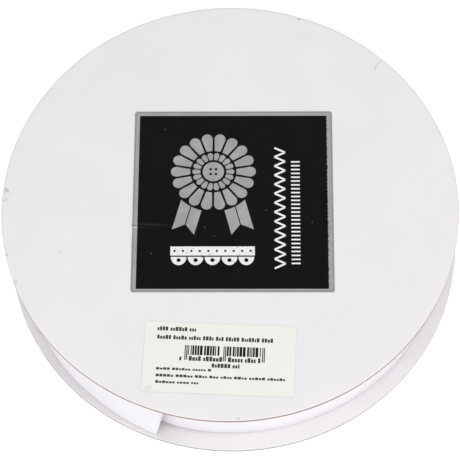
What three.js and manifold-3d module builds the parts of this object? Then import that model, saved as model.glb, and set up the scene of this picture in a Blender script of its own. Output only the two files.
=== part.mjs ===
// Roll of single-fold bias tape on a flat card reel, lying on its lower card.
//
// Two round cards hold a wide flat winding of 20 mm cotton tape between them. The outermost turn has
// come loose at the front, where its slightly slanted cut end shows. The upper card carries a square
// printed label and a small price sticker.
//
// Millimetres, +Z up. The origin is on the surface that the reel lies on, in the middle between the
// two cards' centres. X runs along the printed label's lower edge, and Y along its side.

import * as THREE from "three";
import { mergeVertices } from "three/addons/utils/BufferGeometryUtils.js";
import Module from "manifold-3d";

// ---------- driving dimensions ----------

const CARD_RADIUS = 70;
const CARD_THICKNESS = 1.3;
const CARD_EDGE_ROUND = 0.15; // the die leaves the cut edge a little soft
const CARD_SHIFT = { x: 0.35, y: -0.34 }; // lower card off the middle, and the upper card the other way
const REEL_HEIGHT = 25.4; // over both cards, without the labels

const TAPE_WIDTH = 20; // folded
const FOLD_ROUND = 0.4; // radius of the tape's two folded edges
const SEAT_GAP = 0.3; // between two pieces that rest on each other

const TAIL_THICKNESS = 1;
const TAIL_END_DEG = -109.05; // where the tape's cut end stands, about +Z from +X
const TAIL_START = 230; // degrees of turn from that end to where the tail leaves the winding
const TAIL_SLANT_DEG = 2.35; // how much further round the cut end's upper corner reaches
const TAIL_LEAN = { from: 325, by: 0.8 }; // from this turn on, its upper edge leans in, so far at the end

const LABEL_THICKNESS = 0.4;
const FRONT_LABEL = { width: 61.3, height: 61.3, corner: 0.7, x: 0.6, y: 2.02, turnDeg: 0 };
const PRICE_STICKER = { width: 45.1, height: 22.4, corner: 0.5, x: -3.25, y: -50.14, turnDeg: -2.29 };

// The winding's outline: its radius at each angle of turn past the tail's cut end. The tail lies over
// its last stretch, where the winding is smaller by the tail's thickness.
const WINDING_OUTLINE = [
  { turn: 0, radius: 65.05 },
  { turn: 25, radius: 64.85 },
  { turn: 40, radius: 65.05 },
  { turn: 53, radius: 65.4 },
  { turn: 65, radius: 65.75 },
  { turn: 100, radius: 66.2 },
  { turn: 160, radius: 66.6 },
  { turn: TAIL_START, radius: 66.9 },
];
const WINDING_UNDER_TAIL = [
  { turn: TAIL_START, radius: 66.9 - TAIL_THICKNESS - SEAT_GAP },
  { turn: 290, radius: 65.2 },
  { turn: 360, radius: 65.05 },
];

// The tail's outer face: it springs out towards its cut end.
const TAIL_OUTLINE = [
  { turn: TAIL_START, radius: 66.9 },
  { turn: 280, radius: 67.0 },
  { turn: 320, radius: 67.15 },
  { turn: 331, radius: 67.45 },
  { turn: 339, radius: 67.7 },
  { turn: 347, radius: 68.2 },
  { turn: 354, radius: 68.8 },
  { turn: 360, radius: 69.25 },
  { turn: 364, radius: 69.4 },
];

// Turns that were wound higher than the rest: how far their upper edges stand above it, by radius.
// The innermost ones reach the upper card, which rests on them.
const RAISED_TURNS = [
  { from: 0, to: 21, rise: REEL_HEIGHT - 2 * (CARD_THICKNESS + SEAT_GAP) - TAPE_WIDTH },
  { from: 27, to: 33, rise: 1.1 },
  { from: 44, to: 50, rise: 0.7 },
  { from: 57, to: 61, rise: 0.9 },
];
const RAISED_SLOPE = 1.6; // width of the slope beside raised turns

// ---------- steps of the round shapes ----------

const CARD_STEPS = 180;
const WINDING_STEPS = 180;
const RAISED_STEPS = 120;
const TAIL_STEPS = 48;
const CORNER_STEPS = 4;

// ---------- colours ----------

const card = new THREE.MeshStandardMaterial({ color: 0xebeaeb, roughness: 0.75, metalness: 0 });
const tape = new THREE.MeshStandardMaterial({ color: 0xf4f3f8, roughness: 0.95, metalness: 0 });
const blackPrint = new THREE.MeshStandardMaterial({ color: 0x1b1a18, roughness: 0.4, metalness: 0 });
const stickerPaper = new THREE.MeshStandardMaterial({ color: 0xf0efea, roughness: 0.6, metalness: 0 });

// ---------- heights ----------

const ROLL_BOTTOM = CARD_THICKNESS + SEAT_GAP;
const ROLL_TOP = ROLL_BOTTOM + TAPE_WIDTH;
const LABEL_BOTTOM = REEL_HEIGHT + SEAT_GAP;

// ---------- helpers ----------

const wasm = await Module();
wasm.setup();

const radians = THREE.MathUtils.degToRad;

// How fast a table's radius changes at one of its rows, taken from the rows on both sides.
function slopeAt(table, row) {
  const a = table[Math.max(row - 1, 0)];
  const b = table[Math.min(row + 1, table.length - 1)];
  return (b.radius - a.radius) / (b.turn - a.turn);
}

// The radius that a table gives at an angle of turn, on a smooth cubic through its rows.
function radiusAt(table, turn) {
  const next = Math.max(1, table.findIndex((row) => row.turn >= turn));
  const a = table[next - 1];
  const b = table[next];
  const span = b.turn - a.turn;
  const t = (turn - a.turn) / span;
  const u = 1 - t;
  const bend = u * u * t * slopeAt(table, next - 1) - u * t * t * slopeAt(table, next);
  return (1 + 2 * t) * u * u * a.radius + (1 + 2 * u) * t * t * b.radius + span * bend;
}

function pointAt(turn, radius) {
  const angle = radians(TAIL_END_DEG + turn);
  return new THREE.Vector2(radius * Math.cos(angle), radius * Math.sin(angle));
}

function solidOf(geometry) {
  const bare = geometry.clone();
  bare.deleteAttribute("normal");
  bare.deleteAttribute("uv");
  const merged = mergeVertices(bare, 1e-4);
  return new wasm.Manifold(
    new wasm.Mesh({
      numProp: 3,
      vertProperties: merged.attributes.position.array,
      triVerts: new Uint32Array(merged.index.array),
    }),
  );
}

function geometryOf(solid) {
  const { vertProperties, triVerts } = solid.getMesh();
  const geometry = new THREE.BufferGeometry();
  geometry.setAttribute("position", new THREE.BufferAttribute(vertProperties, 3));
  geometry.setIndex(new THREE.BufferAttribute(triVerts, 1));
  geometry.computeVertexNormals();
  return geometry;
}

// A profile of (radius, height) points, turned about +Z.
function turned(profile, steps) {
  const points = profile.map(([radius, height]) => new THREE.Vector2(radius, height));
  return new THREE.LatheGeometry(points, steps).rotateX(Math.PI / 2);
}

function node(name, geometry, material) {
  const mesh = new THREE.Mesh(geometry, material);
  mesh.name = name;
  return mesh;
}

// ---------- the two cards ----------

function cardGeometry() {
  const r = CARD_RADIUS;
  const t = CARD_THICKNESS;
  const e = CARD_EDGE_ROUND;
  const profile = [
    [0, 0],
    [r - e, 0],
    [r, e],
    [r, t - e],
    [r - e, t],
    [0, t],
  ];
  return turned(profile, CARD_STEPS);
}

function cardNode(name, side, bottom) {
  const mesh = node(name, cardGeometry(), card);
  mesh.position.set(side * CARD_SHIFT.x, side * CARD_SHIFT.y, bottom);
  return mesh;
}

// ---------- the wound tape ----------

// The winding from above: a spiral's last turn, stepped in where the tail leaves it.
function windingShape() {
  const turnOf = (i, steps, from, to) => from + ((to - from) * i) / steps;
  const outside = Math.round((WINDING_STEPS * TAIL_START) / 360);
  const under = WINDING_STEPS - outside;
  const points = [];
  for (let i = 0; i <= outside; i++) {
    const turn = turnOf(i, outside, 0, TAIL_START);
    points.push(pointAt(turn, radiusAt(WINDING_OUTLINE, turn)));
  }
  for (let i = 0; i < under; i++) {
    const turn = turnOf(i, under, TAIL_START, 360);
    points.push(pointAt(turn, radiusAt(WINDING_UNDER_TAIL, turn)));
  }
  return new THREE.Shape(points);
}

function windingBody() {
  return new THREE.ExtrudeGeometry(windingShape(), {
    depth: TAPE_WIDTH - 2 * FOLD_ROUND,
    bevelEnabled: true,
    bevelThickness: FOLD_ROUND,
    bevelSize: FOLD_ROUND,
    bevelOffset: -FOLD_ROUND,
    bevelSegments: 2,
    curveSegments: 1,
  }).translate(0, 0, ROLL_BOTTOM + FOLD_ROUND);
}

// The upper edges of the raised turns, as low flat-topped rings that stand in the winding.
function raisedTurns() {
  const foot = ROLL_TOP - FOLD_ROUND;
  return RAISED_TURNS.map(({ from, to, rise }) => {
    const top = ROLL_TOP + rise;
    const outer = to + RAISED_SLOPE;
    const ring = [[outer, foot], [outer, ROLL_TOP], [to, top]];
    if (from === 0) return turned([[0, foot], ...ring, [0, top]], RAISED_STEPS);
    const inner = from - RAISED_SLOPE;
    return turned([[inner, foot], ...ring, [from, top], [inner, ROLL_TOP], [inner, foot]], RAISED_STEPS);
  });
}

function rollGeometry() {
  let roll = solidOf(windingBody());
  for (const ring of raisedTurns()) roll = roll.add(solidOf(ring));
  return geometryOf(roll);
}

// ---------- the loose tail ----------

// A straight strip, bent round the winding: x runs along it, y inwards through it, and z across it.
function tailGeometry() {
  const strip = new THREE.BoxGeometry(1, TAIL_THICKNESS, TAPE_WIDTH, TAIL_STEPS, 1, 4);
  const points = strip.attributes.position;
  const root = TAIL_START + THREE.MathUtils.radToDeg(SEAT_GAP / 66);
  for (let i = 0; i < points.count; i++) {
    const along = points.getX(i) + 0.5;
    const across = points.getZ(i) / TAPE_WIDTH + 0.5;
    const end = 360 + TAIL_SLANT_DEG * across;
    const turn = root + (end - root) * along;
    const depth = TAIL_THICKNESS / 2 + points.getY(i);
    const leaning = Math.max(0, Math.min(1, (turn - TAIL_LEAN.from) / (360 - TAIL_LEAN.from)));
    const lean = TAIL_LEAN.by * leaning * leaning * across;
    const point = pointAt(turn, radiusAt(TAIL_OUTLINE, turn) - depth - lean);
    points.setXYZ(i, point.x, point.y, ROLL_BOTTOM + TAPE_WIDTH * across);
  }
  return strip;
}

// ---------- the label and the sticker ----------

function plateGeometry({ width, height, corner }) {
  const x = width / 2;
  const y = height / 2;
  const shape = new THREE.Shape();
  shape.moveTo(corner - x, -y);
  shape.lineTo(x - corner, -y);
  shape.absarc(x - corner, corner - y, corner, -Math.PI / 2, 0);
  shape.lineTo(x, y - corner);
  shape.absarc(x - corner, y - corner, corner, 0, Math.PI / 2);
  shape.lineTo(corner - x, y);
  shape.absarc(corner - x, y - corner, corner, Math.PI / 2, Math.PI);
  shape.lineTo(-x, corner - y);
  shape.absarc(corner - x, corner - y, corner, Math.PI, 1.5 * Math.PI);
  return new THREE.ExtrudeGeometry(shape, {
    depth: LABEL_THICKNESS,
    bevelEnabled: false,
    curveSegments: CORNER_STEPS,
  });
}

function plateNode(name, plate, material) {
  const mesh = node(name, plateGeometry(plate), material);
  mesh.position.set(plate.x, plate.y, LABEL_BOTTOM);
  mesh.rotation.z = radians(plate.turnDeg);
  return mesh;
}

// ---------- the reel ----------

const reel = new THREE.Group();
reel.add(
  cardNode("flange_bottom", 1, 0),
  cardNode("flange_top", -1, REEL_HEIGHT - CARD_THICKNESS),
  node("tape_roll", rollGeometry(), tape),
  node("tape_end", tailGeometry(), tape),
  plateNode("front_label", FRONT_LABEL, blackPrint),
  plateNode("price_sticker", PRICE_STICKER, stickerPaper),
);

export default reel;
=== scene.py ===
"""Roll of bias tape on a flat card reel, on a white studio floor.

A white folded cotton tape is wound between two round card discs. Its last turn has sprung loose and
its cut end shows. The upper disc carries a square black label with a silver border and a small paper
sticker. Every size is in metres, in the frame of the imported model.
"""

import math
from typing import NamedTuple

import bmesh
import bpy
from bpy.props import FloatProperty, FloatVectorProperty, PointerProperty
from mathutils import Matrix, Quaternion, Vector, noise


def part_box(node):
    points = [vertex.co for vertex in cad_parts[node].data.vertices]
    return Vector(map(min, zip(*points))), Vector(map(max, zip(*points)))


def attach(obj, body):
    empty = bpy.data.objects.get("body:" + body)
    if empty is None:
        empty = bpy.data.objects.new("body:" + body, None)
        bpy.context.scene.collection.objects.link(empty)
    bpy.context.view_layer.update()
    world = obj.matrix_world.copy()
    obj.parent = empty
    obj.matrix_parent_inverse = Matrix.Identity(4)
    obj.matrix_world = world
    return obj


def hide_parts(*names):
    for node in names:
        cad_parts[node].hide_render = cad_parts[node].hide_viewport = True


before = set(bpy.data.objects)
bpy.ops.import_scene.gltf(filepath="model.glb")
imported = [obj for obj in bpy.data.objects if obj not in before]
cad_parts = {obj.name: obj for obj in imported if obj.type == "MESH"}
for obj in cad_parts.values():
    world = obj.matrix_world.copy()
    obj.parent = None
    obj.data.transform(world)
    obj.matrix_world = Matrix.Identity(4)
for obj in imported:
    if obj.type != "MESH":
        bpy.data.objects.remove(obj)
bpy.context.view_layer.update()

bl_info = {
    "name": "Bias tape reel",
    "version": (1, 0, 0),
    "blender": (4, 5, 0),
    "location": "View3D > Sidebar > Tape reel",
    "description": "Models and finishes a roll of bias tape on a flat card reel",
    "category": "Object",
}

MM = 0.001
TOUCHING = 1e-7  # points nearer than this count as one
BODY = "root"


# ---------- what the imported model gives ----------

LOWER_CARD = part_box("flange_bottom")
UPPER_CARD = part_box("flange_top")
FRONT_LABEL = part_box("front_label")
PRICE_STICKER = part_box("price_sticker")


def middle(box):
    return (box[0] + box[1]) / 2


def extent(box):
    return box[1] - box[0]


# ---------- the sizes and colours that a user may change ----------


def length(name, description, default):
    return FloatProperty(
        name=name, description=description, default=default, min=0, precision=5, unit="LENGTH"
    )


def angle(name, description, degrees):
    return FloatProperty(name=name, description=description, default=math.radians(degrees), unit="ROTATION")


def colour(name, description, default):
    return FloatVectorProperty(
        name=name, description=description, default=default, size=3, min=0, max=1, subtype="COLOR"
    )


class ReelSizes(bpy.types.PropertyGroup):
    """Sizes of the cards, the tape and what is stuck on the upper card."""

    card_radius: length("Card radius", "Radius of both round cards", extent(UPPER_CARD).x / 2)
    card_thickness: length("Card thickness", "Thickness of both cards", extent(UPPER_CARD).z)
    card_crush: length("Edge crush", "How far the die has pressed the card's rim down", 0.1 * MM)
    card_ripple: length("Card ripple", "Height of the card's slow unevenness", 0.07 * MM)

    tape_width: length("Tape width", "Width of the folded tape", 20 * MM)
    cloth_thickness: length("Cloth thickness", "Thickness of one layer of the cotton", 0.18 * MM)
    fold_radius: length("Fold radius", "Radius of the pressed folds, at the middle of the cloth", 0.14 * MM)
    hem_depth: length("Folded-in edge", "How far each raw edge is folded in behind the tape", 9 * MM)
    tape_seat: length("Tape seat", "Height of the winding above the lower card", 0.05 * MM)
    thread_pitch: length("Thread pitch", "Distance from one thread to the next", 0.36 * MM)

    label_size: length("Label size", "Side of the square printed label", extent(FRONT_LABEL).x)
    label_corner: length("Label corner", "Radius of the label's corners", 0.7 * MM)
    label_thickness: length("Label thickness", "Thickness of the printed label", 0.12 * MM)
    sticker_width: length("Sticker width", "Width of the price sticker", 45.1 * MM)
    sticker_height: length("Sticker height", "Height of the price sticker", 22.4 * MM)
    sticker_corner: length("Sticker corner", "Radius of the price sticker's corners", 0.35 * MM)
    sticker_thickness: length("Sticker thickness", "Thickness of the price sticker", 0.09 * MM)
    sticker_turn: angle("Sticker turn", "How far the price sticker is turned from the label", -2.29)
    ink_thickness: length("Ink thickness", "Thickness of the silver and white print", 0.02 * MM)


class ReelColours(bpy.types.PropertyGroup):
    """Colours of the card, the cotton, the print and the studio floor, as linear light."""

    card_outside: colour("Card outside", "White facing on the cards' outer sides", (0.83, 0.812, 0.825))
    card_inside: colour("Card inside", "Facing on the sides that touch the tape", (0.758, 0.727, 0.738))
    card_core: colour("Card core", "Board in the upper card's cut edge", (0.3, 0.205, 0.16))
    # The lower card's edge is the same board as the upper card's; its blue-grey is painted light, the look
    # that the white surroundings give it.
    lower_edge_painted_grey: colour("Grey core", "Board in the lower card's cut edge", (0.33, 0.335, 0.35))
    cotton: colour("Cotton", "Bleached cotton of the tape", (0.748, 0.735, 0.777))
    label_black: colour("Label black", "Black print of the square label", (0.005, 0.0045, 0.004))
    label_silver: colour("Label silver", "Silver ink of the border and the rosette", (0.43, 0.434, 0.43))
    label_white: colour("Label white", "White ink of the trim and the stitches", (0.86, 0.86, 0.86))
    sticker_cream: colour("Sticker paper", "Cream paper of the price sticker", (0.855, 0.846, 0.798))
    # Painted shade: the sticker's cut edge is coloured dark to stand for the shadow line under the sticker.
    sticker_edge_shade: colour("Sticker edge", "Cut edge of the price sticker, painted dark as the shade under it", (0.3, 0.29, 0.27))
    sticker_ink: colour("Sticker ink", "Dark print of the price sticker", (0.045, 0.041, 0.041))
    stripe_ink: colour("Stripe ink", "Blacker print of the sticker's stripes", (0.008, 0.007, 0.007))
    floor: colour("Floor", "Floor of the studio", (0.96, 0.96, 0.96))


def sizes():
    return bpy.context.scene.tape_reel_sizes


def colours():
    return bpy.context.scene.tape_reel_colours


# ---------- building materials ----------


class Finish:
    """A procedural material: a Principled shader and the nodes that feed it."""

    def __init__(self, name, roughness, specular=0.5, metallic=0.0, sheen=0.0):
        self.material = bpy.data.materials.new(name)
        self.material.use_nodes = True
        self.tree = self.material.node_tree
        self.shader = self.tree.nodes["Principled BSDF"]
        self.finish(Roughness=roughness, Specular_IOR_Level=specular, Metallic=metallic, Sheen_Weight=sheen)

    def add(self, kind, inputs, output=0, **settings):
        """Adds a node, feeds its inputs with values or other nodes' outputs, and returns its output."""
        node = self.tree.nodes.new(kind)
        for name, value in settings.items():
            setattr(node, name, value)
        for socket, value in inputs.items():
            self.feed(node.inputs[socket], value)
        return node.outputs[output]

    def feed(self, socket, value):
        """Links a node's output to a socket, or sets the socket's own value."""
        if isinstance(value, bpy.types.NodeSocket):
            self.tree.links.new(value, socket)
        else:
            socket.default_value = value

    def turned(self, seen, turn, stretch):
        """Coordinates turned about Z, then stretched, so that a pattern on them turns the same way."""
        inputs = {"Vector": seen, "Rotation": (0, 0, turn), "Scale": tuple(1 / part for part in stretch)}
        return self.add("ShaderNodeMapping", inputs, vector_type="TEXTURE")

    def place(self, centre=(0, 0, 0), turn=0.0, stretch=(1, 1, 1)):
        """Object coordinates, measured from a centre, turned about Z and stretched."""
        seen = self.add("ShaderNodeTexCoord", {}, output="Object")
        away = self.add("ShaderNodeVectorMath", {0: seen, 1: centre}, operation="SUBTRACT")
        return self.turned(away, turn, stretch)

    def cloth(self, turn=0.0, stretch=(1, 1, 1)):
        """The flat cloth's own coordinates, in metres, turned and stretched."""
        return self.turned(self.add("ShaderNodeUVMap", {}, uv_map="cloth"), turn, stretch)

    def mottle(self, place, size, detail=2.0, rough=0.5):
        """Soft noise whose blotches are about as wide as size."""
        inputs = {"Vector": place, "Scale": 1 / size, "Detail": detail, "Roughness": rough}
        return self.add("ShaderNodeTexNoise", inputs)

    def calculate(self, operation, a, b=0.0):
        return self.add("ShaderNodeMath", {0: a, 1: b}, operation=operation)

    def part(self, vector, axis):
        """One coordinate of a vector."""
        return self.add("ShaderNodeSeparateXYZ", {0: vector}, output=axis)

    def distance(self, place):
        """How far a place is from its coordinates' centre."""
        return self.add("ShaderNodeVectorMath", {0: place}, output="Value", operation="LENGTH")

    def between(self, value, low, high, to_low=0.0, to_high=1.0, smooth=True):
        """Maps low to to_low and high to to_high, held at both ends."""
        return self.add(
            "ShaderNodeMapRange",
            {"Value": value, "From Min": low, "From Max": high, "To Min": to_low, "To Max": to_high},
            interpolation_type="SMOOTHSTEP" if smooth else "LINEAR",
        )

    def blend(self, factor, a, b):
        """The colour a where factor is 0 and the colour b where it is 1."""
        return self.add("ShaderNodeMix", {0: factor, 6: opaque(a), 7: opaque(b)}, output=2, data_type="RGBA")

    def near(self, place, radius, soft):
        """1 within radius of the place's centre, fading to 0 over soft."""
        return self.between(self.distance(place), radius, radius + soft, 1.0, 0.0)

    def bump(self, height, depth, strength=1.0, below=None):
        """Relief that is depth high where height goes from 0 to 1, laid over the relief below."""
        inputs = {"Height": height, "Distance": depth, "Strength": strength}
        if below is not None:
            inputs["Normal"] = below
        return self.add("ShaderNodeBump", inputs)

    def finish(self, **sockets):
        """Feeds the shader's sockets, which are named with _ for a space, and returns the material."""
        for name, value in sockets.items():
            self.feed(self.shader.inputs[name.replace("_", " ")], value)
        return self.material


def opaque(value):
    """A colour with its alpha, or another node's output as it is."""
    if isinstance(value, bpy.types.NodeSocket) or len(value) == 4:
        return value
    return (*value, 1.0)


def shade(tint, factor):
    return tuple(min(1.0, part * factor) for part in tint)


# ---------- building pieces ----------


def added(name, data):
    """Adds an object to the scene: a mesh, a light or the camera."""
    thing = bpy.data.objects.new(name, data)
    bpy.context.scene.collection.objects.link(thing)
    return thing


def mesh_of(name, bm, materials):
    """Turns a bmesh into a mesh with its materials."""
    mesh = bpy.data.meshes.new(name)
    bm.to_mesh(mesh)
    bm.free()
    for material in materials:
        mesh.materials.append(material)
    return mesh


def placed(name, bm, materials, sharp_deg=30):
    """Makes a finished piece of a bmesh, in place, riding with the reel."""
    mesh = mesh_of(name, bm, materials)
    mesh.shade_smooth()
    mesh.set_sharp_from_angle(angle=math.radians(sharp_deg))
    piece = added(name, mesh)
    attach(piece, BODY)
    return piece


def grid(along, across):
    """A flat grid from 0 to 1 each way."""
    bm = bmesh.new()
    bmesh.ops.create_grid(bm, x_segments=along, y_segments=across, size=0.5)
    bmesh.ops.translate(bm, verts=bm.verts, vec=(0.5, 0.5, 0))
    return bm


def cut_across(bm, axis, places):
    """Cuts the whole mesh by planes square to an axis, so that it can bend there."""
    normal = Vector((axis == "x", axis == "y", 0))
    for place in places:
        parts = bm.verts[:] + bm.edges[:] + bm.faces[:]
        bmesh.ops.bisect_plane(bm, geom=parts, dist=TOUCHING, plane_co=normal * place, plane_no=normal)


def held(value):
    """The value, held between 0 and 1."""
    return min(1.0, max(0.0, value))


def steps_from(low, high, count):
    return [low + (high - low) * i / count for i in range(count + 1)]


def eased(rows, at):
    """The value that rows of (at, value) give at a place, on a smooth cubic through the rows."""
    last = len(rows) - 1
    here = next((i for i in range(1, last) if rows[i][0] >= at), last)
    (x0, y0), (x1, y1) = rows[here - 1], rows[here]

    def slope(row):
        (xa, ya), (xb, yb) = rows[max(row - 1, 0)], rows[min(row + 1, last)]
        return (yb - ya) / (xb - xa)

    span = x1 - x0
    t = held((at - x0) / span)
    u = 1 - t
    bend = u * u * t * slope(here - 1) - u * t * t * slope(here)
    return (1 + 2 * t) * u * u * y0 + (1 + 2 * u) * t * t * y1 + span * bend


# The upper card's unevenness: how many broad and fine waves a metre, and how high the fine ones are
# beside the broad ones.
RIPPLE = {"broad": 28, "fine": 75, "fine_share": 0.4}


def card_ripple(x, y):
    """How far its slow unevenness lifts the upper card's face at a place."""
    slow = noise.noise(Vector((x, y, 0)) * RIPPLE["broad"])
    slow += RIPPLE["fine_share"] * noise.noise(Vector((y, x, 1)) * RIPPLE["fine"])
    return sizes().card_ripple * slow


def lay_on_card(bm):
    """Lets what lies on the upper card follow the card's unevenness."""
    for vert in bm.verts:
        vert.co.z += card_ripple(vert.co.x, vert.co.y)


# ---------- the two cards ----------

CARD_STEPS = 320

# The upper half of a card's section at its rim: how far in from the rim in millimetres, at what
# share of the thickness, and how much of the die's crush is taken off there.
RIM_SECTION = [(0, 0.5, 0), (0, 0.84, 0), (0.03, 1, 1), (0.16, 1, 0.45), (0.6, 1, 0.12), (1.6, 1, 0)]
# Rings across the flat face, as shares of the radius, on which the ripple is drawn.
FACE_RINGS = [0.96, 0.93, 0.89, 0.84, 0.77, 0.7, 0.62, 0.54, 0.46, 0.38, 0.3, 0.22, 0.14, 0.07]
FACE_TILT = 0.35  # a face whose normal's height is over this belongs to a facing, not to the cut edge
# How far the cut has pulled the rim in, its fine and coarse waves a metre, how strong the coarse ones
# are beside the fine ones, and how steeply it fades away from the rim.
RAGGED_RIM = {"depth": 0.03 * MM, "fine": 900, "coarse": 160, "coarse_share": 0.6, "fade": 30}

# Small damage on the upper card's rim, a brown nick, a grey nick and a soft dent: where each is, how
# wide, how deep it is pressed.
RIM_DAMAGE = [
    {"x": -69.2 * MM, "y": 5.7 * MM, "width": 1.2 * MM, "depth": 0.45 * MM},
    {"x": 21.4 * MM, "y": 66.6 * MM, "width": 0.9 * MM, "depth": 0.35 * MM},
    {"x": 46.0 * MM, "y": 49.4 * MM, "width": 1.8 * MM, "depth": 0.1 * MM},
]


class Mark(NamedTuple):
    """A small mark on paper, in millimetres: full up to its inner radius and gone at its outer one."""

    x: float
    y: float
    inner: float
    outer: float
    tint: tuple
    turn: float = 0  # degrees from X towards Y, the way it is drawn out
    long: float = 1  # how many times longer than wide it is
    broken: bool = False  # shows only where the paper's grain stands up


UPPER_MARKS = [
    Mark(-69.0, 5.7, 0.2, 0.75, (0.57, 0.51, 0.48), turn=-48, long=1.9),
    Mark(-69.2, 4.1, 0.5, 1.9, (0.7, 0.67, 0.66), broken=True),
    Mark(-69.2, 2.3, 0.15, 0.6, (0.68, 0.63, 0.61), turn=35, long=2.2),
    Mark(21.4, 66.4, 0.2, 0.85, (0.45, 0.45, 0.47)),
    Mark(-67.95, -16.1, 0.15, 0.6, (0.6, 0.59, 0.59), turn=105, long=1.6),
    Mark(-64.8, -25.3, 0.2, 0.8, (0.73, 0.66, 0.67), turn=112, long=1.8),
    Mark(-51.5, -15.2, 0.2, 0.75, (0.74, 0.73, 0.74)),
    Mark(2.5, -68.8, 0.2, 0.6, (0.6, 0.6, 0.62)),
    Mark(45.2, 48.4, 0.1, 0.65, (0.66, 0.65, 0.66), turn=80, long=2.0),
    Mark(46.1, 49.9, 0.1, 0.6, (0.68, 0.67, 0.68), turn=40, long=2.6),
    Mark(47.0, 51.6, 0.3, 1.3, (0.7, 0.69, 0.7), broken=True),
]
LOWER_MARKS = [
    Mark(-13.55, -65.2, 0.1, 0.5, (0.62, 0.58, 0.6)),
]
# How far the paper's grain stands up where a mark starts to show and where it shows in full.
WHOLE_MARK = (0.2, 0.5)
BROKEN_MARK = (0.4, 0.62)
MARK_HEIGHT = 0.01  # the height above the paper counts this little

# Painted shade along the upper card's rim: how far in from the edge it starts and is full, and how dark it
# is. It is strongest behind the reel's middle and fades out in front of it.
PAINTED_RIM_SHADE = {"starts": 0.6 * MM, "full": 0.25 * MM, "shade": 0.82}
RIM_SHADE_FADE = {"none": -30 * MM, "most": 5 * MM, "strength": 0.6}


def speckled(made, tone, marks, level, grain):
    """Lays small ragged marks over a tone, on paper whose face is at a level and has a grain."""
    for mark in marks:
        centre = (mark.x * MM, mark.y * MM, level)
        at = made.place(centre, math.radians(mark.turn), (1 / mark.long, 1, MARK_HEIGHT))
        strength = made.near(at, mark.inner * MM, (mark.outer - mark.inner) * MM)
        shown = made.between(grain, *(BROKEN_MARK if mark.broken else WHOLE_MARK))
        tone = made.blend(made.calculate("MULTIPLY", strength, shown), tone, mark.tint)
    return tone


def facing_finish(name, tint, level, marks=(), rim_painted_shade=False):
    """White paper facing: faint fibre mottling, a dusting of darker flecks, a matt clay coat, and on request
    painted shade along the upper card's rim.
    """
    made = Finish(name, roughness=0.62, specular=0.35)
    place = made.place()
    cloud = made.between(made.mottle(place, 16 * MM, 3), 0.35, 0.68)
    grain = made.mottle(place, 0.9 * MM, 4, 0.65)
    fibre = made.mottle(made.place(turn=0.5, stretch=(1, 3.5, 1)), 1.4 * MM, 3)
    fleck = made.between(made.mottle(place, 2.1 * MM, 1), 0.74, 0.8)
    tone = made.blend(cloud, shade(tint, 0.985), shade(tint, 1.012))
    tone = made.blend(made.between(grain, 0.3, 0.75, 0.0, 0.3), tone, shade(tint, 0.955))
    tone = made.blend(made.between(fleck, 0, 1, 0, 0.25), tone, shade(tint, 0.86))
    tone = speckled(made, tone, marks, level, grain)
    # Painted shade: the facing darkens towards the rim, most behind the reel's middle.
    if rim_painted_shade:
        rim, fade = PAINTED_RIM_SHADE, RIM_SHADE_FADE
        radius = sizes().card_radius
        out = made.place((middle(UPPER_CARD).x, middle(UPPER_CARD).y, level))
        rub = made.between(made.distance(out), radius - rim["starts"], radius - rim["full"])
        behind = made.between(made.part(out, "Y"), fade["none"], fade["most"], 0.0, fade["strength"])
        tone = made.blend(made.calculate("MULTIPLY", rub, behind), tone, shade(tint, rim["shade"]))
    relief = made.bump(grain, 0.02 * MM, 0.6)
    relief = made.bump(fibre, 0.03 * MM, 0.5, below=relief)
    roughness = made.between(grain, 0.2, 0.8, 0.56, 0.7)
    return made.finish(Base_Color=tone, Roughness=roughness, Normal=relief)


def cut_edge_finish(name, core, lining, bottom):
    """The board's cut edge: pale facings over pressed brown-grey pulp in thin uneven layers."""
    made = Finish(name, roughness=0.85, specular=0.2)
    thickness = sizes().card_thickness
    around = made.place((0, 0, bottom))
    waver = made.between(made.mottle(around, 3.0 * MM, 3), 0, 1, -0.08 * MM, 0.08 * MM, smooth=False)
    height = made.calculate("ADD", made.part(around, "Z"), waver)
    layers = made.mottle(made.place(stretch=(0.12, 0.12, 3.2)), 0.5 * MM, 4, 0.7)
    upper = made.between(height, 0.35 * thickness, 0.8 * thickness)
    tone = made.blend(upper, shade(core, 1.12), shade(core, 0.86))
    tone = made.blend(made.between(layers, 0.35, 0.65, 0, 0.5), tone, shade(core, 0.7))
    rim_low = made.between(height, 0.05 * thickness, 0.13 * thickness, 1, 0)
    rim_high = made.between(height, 0.88 * thickness, 0.95 * thickness)
    tone = made.blend(made.calculate("MAXIMUM", rim_low, rim_high), tone, lining)
    fuzz = made.mottle(around, 0.25 * MM, 4, 0.7)
    relief = made.bump(layers, 0.06 * MM, 0.8)
    relief = made.bump(fuzz, 0.05 * MM, 0.6, below=relief)
    return made.finish(Base_Color=tone, Normal=relief)


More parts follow.
